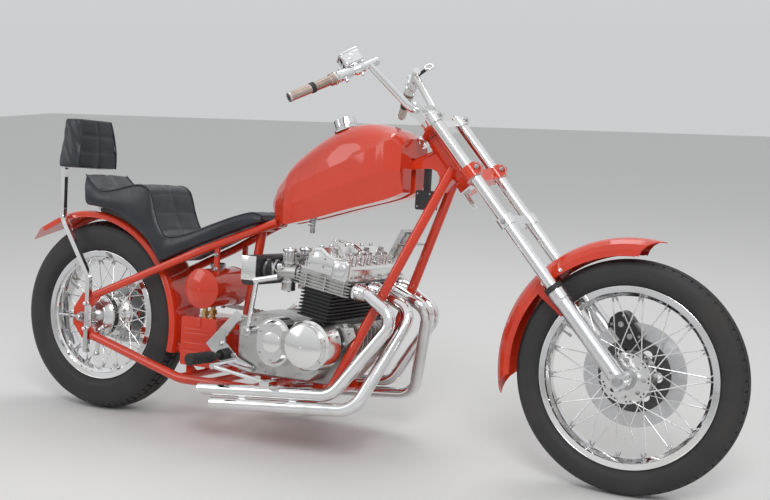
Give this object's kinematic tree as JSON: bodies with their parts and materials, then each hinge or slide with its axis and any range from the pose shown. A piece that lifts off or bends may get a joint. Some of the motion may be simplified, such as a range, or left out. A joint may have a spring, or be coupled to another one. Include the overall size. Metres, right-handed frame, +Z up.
{
  "type": "chopper motorcycle",
  "caption": "Long rigid-frame chopper motorcycle with a raked fork, wire wheels, finned in-line engine across the frame, faceted tank, padded seat and sissy bar.",
  "frame": {"origin": "On the floor under the middle of the machine's box, as it stands parked on its side stand.", "axes": "+X is the front of the machine, +Y its left, +Z up. The machine leans 7.2 degrees to its left."},
  "size_m": [2.5124, 0.7668, 1.2307],
  "materials": {
    "red_paint": "orange-red gloss paint",
    "black_paint": "black satin paint",
    "chrome": "bright plating",
    "steel": "plain steel",
    "cast_alloy": "cast, dull",
    "bright_alloy": "polished",
    "tyre": "black",
    "rubber": "black",
    "black_plastic": "black",
    "leather": "black, stitched",
    "brass": "plain",
    "bronze": "satin, brownish"
  },
  "bodies": {
    "frame": {"frame_spine": "red_paint", "frame_loop_right": "red_paint", "frame_loop_left": "red_paint", "frame_stays": "red_paint", "frame_crossmembers": "red_paint", "axle_plates": "red_paint", "stand_bracket": "red_paint", "rear_axle": "steel", "crankcase": "cast_alloy", "covers_right": "bright_alloy", "covers_left": "bright_alloy", "cylinder_block": "cast_alloy", "cylinder_head": "cast_alloy", "cam_cover": "bright_alloy", "carburettors": "cast_alloy", "intake_boots": "rubber", "air_filter": "black_plastic", "exhaust_right": "chrome", "exhaust_left": "chrome", "oil_tank": "red_paint", "oil_fittings": "brass", "battery_box": "red_paint", "regulator": "cast_alloy", "coil_box": "black_plastic", "fuel_tank": "red_paint", "fuel_cap": "chrome", "seat": "leather", "seat_pan": "black_paint", "rear_fender": "red_paint", "sissy_bar": "chrome", "sissy_pad": "leather", "foot_controls": "chrome", "foot_pegs": "rubber", "kick_lever": "chrome", "chain": "steel", "rear_brake_plate": "chrome"},
    "fork": {"lower_clamp": "red_paint", "upper_clamp": "bright_alloy", "fork_tubes": "chrome", "fork_sliders": "bright_alloy", "fork_seals": "rubber", "fork_brace": "chrome", "lamp_bracket": "chrome", "handlebar": "chrome", "grips": "bronze", "hand_controls": "black_paint", "front_fender": "red_paint", "front_axle": "steel", "front_caliper": "black_paint"},
    "front_wheel": {"front_tyre": "tyre", "front_rim": "chrome", "front_spokes": "chrome", "front_hub": "bright_alloy", "front_disc": "steel"},
    "rear_wheel": {"rear_tyre": "tyre", "rear_rim": "chrome", "rear_spokes": "chrome", "rear_hub": "bright_alloy", "rear_sprocket": "steel"},
    "side_stand": {"side_stand": "black_paint"}
  },
  "joints": [
    {"name": "steering", "type": "hinge", "parent": "frame", "child": "fork", "pos_m": [0.34823, -0.00209, 0.89728], "axis": [-0.6561, 0.0946, 0.7488], "range_deg": [-30, 30]},
    {"name": "front_wheel_spin", "type": "hinge", "parent": "fork", "child": "front_wheel", "pos_m": [0.92819, -0.07424, 0.32609], "axis": [0, 0.9921, -0.1253], "continuous": true},
    {"name": "rear_wheel_spin", "type": "hinge", "parent": "frame", "child": "rear_wheel", "pos_m": [-0.9068, -0.07512, 0.31915], "axis": [0, 0.9921, -0.1253], "continuous": true},
    {"name": "side_stand_fold", "type": "hinge", "parent": "frame", "child": "side_stand", "pos_m": [-0.26681, 0.04949, 0.09274], "axis": [0, 0.6321, 0.7749], "range_deg": [0, 110]}
  ]
}
